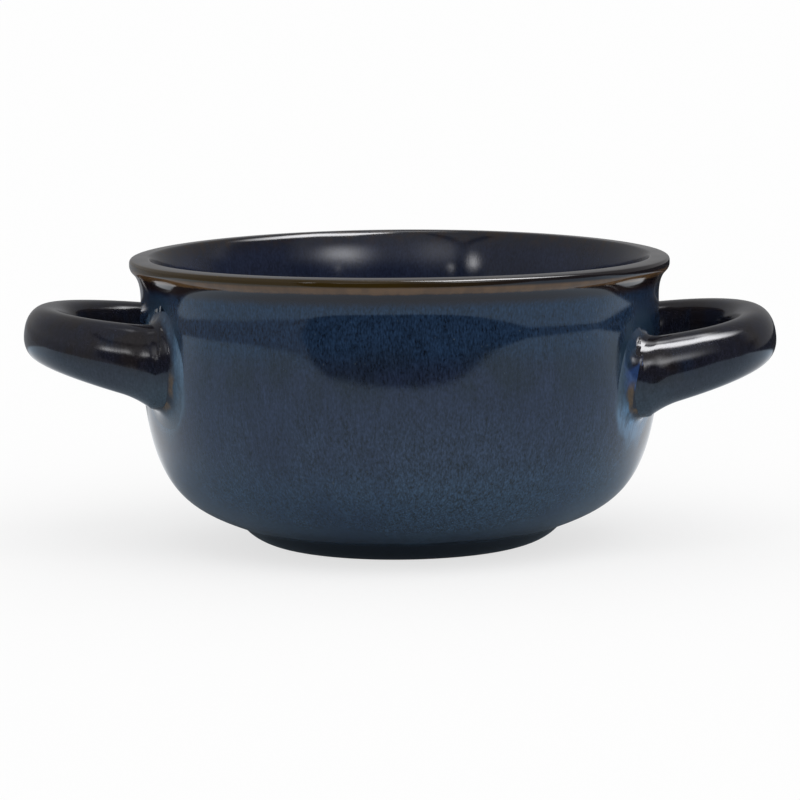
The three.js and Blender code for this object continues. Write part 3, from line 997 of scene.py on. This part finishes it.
def show_in_reflections(card):
    """Hides a card from everything but mirror-like rays."""
    card.visible_camera = False
    card.visible_diffuse = False
    card.visible_transmission = False
    card.visible_shadow = False


for name, (level, corners, headings) in room_strips.items():
    near = np.array(corners)
    heading = np.radians(headings)
    far = near + room_reach * np.stack([np.sin(heading), -np.cos(heading)], axis=1)
    strip_points = np.concatenate([np.stack([near, far]), np.full((2, len(near), 1), room_lift)], axis=2)
    strip = make_piece(name, strip_points, open_quads(2, len(near)), glowing_material(name, level))
    show_in_reflections(strip)

# The room as a dome, by azimuth from the front and elevation, in degrees: dark near the horizon in
# front and on the right, grey above it, dim on the left and behind, and bright overhead.
dome_radius = 3.0
dome_columns = 361
dome_rows = 95
dome_azimuths = np.linspace(-180.0, 180.0, dome_columns)
dome_elevations = np.linspace(-4.0, 90.0, dome_rows)
front_grey = 0.38
left_grey = 0.09
right_level = 0.08
behind_level = 0.28
overhead_level = 2.5
azimuth, elevation = np.meshgrid(dome_azimuths, dome_elevations)


def mixed_level(first, second, share):
    """First level where the share is 0 and second level where it is 1."""
    return first + (second - first) * share


front_level = front_grey * smooth_step(elevation, 9.5, 16.5) + room_dark
left_level = room_dim + left_grey * smooth_step(elevation, 2.0, 10.0)
glow_level = mixed_level(front_level, left_level, smooth_step(azimuth, -41.5, -44.5))
right_share = smooth_step(azimuth, 48.0, 64.0) * smooth_step(azimuth, 104.0, 88.0)
glow_level = mixed_level(glow_level, right_level, right_share * smooth_step(elevation, 56.0, 40.0))
behind_share = np.maximum(smooth_step(azimuth, -140.0, -165.0), smooth_step(azimuth, 94.0, 114.0))
glow_level = mixed_level(glow_level, behind_level, behind_share * smooth_step(elevation, 80.0, 60.0))

# A stand that forks into two arms, dark against the room. Each bar has two ends and half its width.
stand_foot = (-31.5, -2.0)
stand_fork = (-31.5, 24.0)
stand_darkness = 0.85
stand_edge = 2.5
stand_bars = [
    (stand_foot, stand_fork, 3.0),
    (stand_fork, (-20.0, 56.0), 2.0),
    (stand_fork, (-53.0, 46.0), 1.5),
]


def bar(first, last, half):
    """1 within half a width, in degrees, of a straight line between two directions."""
    run = np.array(last) - np.array(first)
    share = ((azimuth - first[0]) * run[0] + (elevation - first[1]) * run[1]) / (run @ run)
    share = np.clip(share, 0.0, 1.0)
    gap = np.hypot(azimuth - first[0] - share * run[0], elevation - first[1] - share * run[1])
    return smooth_step(gap, half + stand_edge, half)


stand = np.max([bar(*ends) for ends in stand_bars], axis=0)
glow_level = glow_level * (1.0 - stand_darkness * stand)

# A long lamp high on the right, whose lower edge comes down towards the right, and the ceiling.
long_lamp_level = 18.0
long_lamp_foot = 70.0 - 0.6 * np.clip(azimuth, 0.0, 30.0) - 0.25 * np.clip(azimuth - 50.0, 0.0, 40.0)
long_lamp = smooth_step(azimuth, -6.0, 16.0) * smooth_step(azimuth, 112.0, 66.0)
long_lamp = long_lamp * smooth_step(elevation - long_lamp_foot, -4.0, 4.0)
long_lamp = long_lamp * smooth_step(elevation, 73.0, 65.0)
glow_level = glow_level + long_lamp_level * long_lamp + overhead_level * smooth_step(elevation, 74.0, 82.0)

# Soft lamps: strength, azimuth, elevation, and the degrees over which each fades to its sides, above
# and below.
soft_lamps = [
    (4.8, 28.5, 17.0, 10.5, 7.3, 4.0),
    (8.0, -38.0, 11.6, 2.3, 4.6, 1.6),
    (6.0, -25.5, 10.6, 1.4, 0.9, 0.9),
    (0.75, -20.0, 19.0, 12.0, 12.0, 6.5),
    (8.0, 105.0, 72.0, 26.0, 5.0, 5.0),
    (2.2, 30.5, 10.0, 1.4, 0.8, 0.8),
]


def soft_lamp(strength, azimuth_middle, elevation_middle, wide, above, below):
    """Bell-shaped glow round a direction, which fades over the given degrees to each side."""
    across = (azimuth - azimuth_middle) / wide
    tall = np.where(elevation > elevation_middle, above, below)
    upwards = (elevation - elevation_middle) / tall
    return strength * np.exp(-across ** 2 - upwards ** 2)


glow_level = glow_level + np.sum([soft_lamp(*lamp) for lamp in soft_lamps], axis=0)
level_reach = dome_radius * np.cos(np.radians(elevation))
dome_points = np.stack([
    level_reach * np.sin(np.radians(azimuth)),
    -level_reach * np.cos(np.radians(azimuth)),
    dome_radius * np.sin(np.radians(elevation)),
], axis=-1)
dome_glow = glowing_material("room_glow", "glow")
dome = make_piece("studio_room", dome_points, open_quads(dome_rows, dome_columns), dome_glow)
mark_points(dome, "glow", glow_level)
show_in_reflections(dome)

sky_light = 0.75
sky_seen = 1.0
world = bpy.data.worlds.new("studio")
bpy.context.scene.world = world
world.use_nodes = True
tree = world.node_tree
seen = seen_rays(tree)[1]
sky = tree.nodes["Background"]
sky.inputs["Color"].default_value = plain_white
tree.links.new(weighted_sum(tree, sky_light, (seen, sky_seen - sky_light)), sky.inputs["Strength"])

key_light = bpy.data.lights.new("soft_key", "SUN")
key_light.energy = 0.8
key_light.angle = np.radians(60.0)
key = bpy.data.objects.new("soft_key", key_light)
key.rotation_euler = (np.radians(33.0), 0.0, np.radians(28.0))
key.visible_glossy = False
bpy.context.scene.collection.objects.link(key)


# Camera: straight in front of the bowl, 7 degrees above it, with a long lens, rolled by 0.6 degrees
# and shifted a little sideways, as the photograph is framed.

camera_place = Vector((0.0, -1.2, 0.1889))
camera_aim = Vector((0.0, 0.0, 0.0369))
camera_roll = np.radians(-0.608)
camera_lens = bpy.data.cameras.new("camera")
camera_lens.sensor_width = 36.0
camera_lens.lens = 209.31
camera_lens.shift_x = -0.00105
camera_lens.clip_end = 50.0
camera = bpy.data.objects.new("camera", camera_lens)
bpy.context.scene.collection.objects.link(camera)
camera_turn = (camera_aim - camera_place).to_track_quat("-Z", "Y").to_matrix()
camera.location = camera_place
camera.rotation_euler = (camera_turn @ Matrix.Rotation(camera_roll, 3, "Z")).to_euler()
bpy.context.scene.camera = camera
bpy.context.scene.view_settings.view_transform = "Standard"
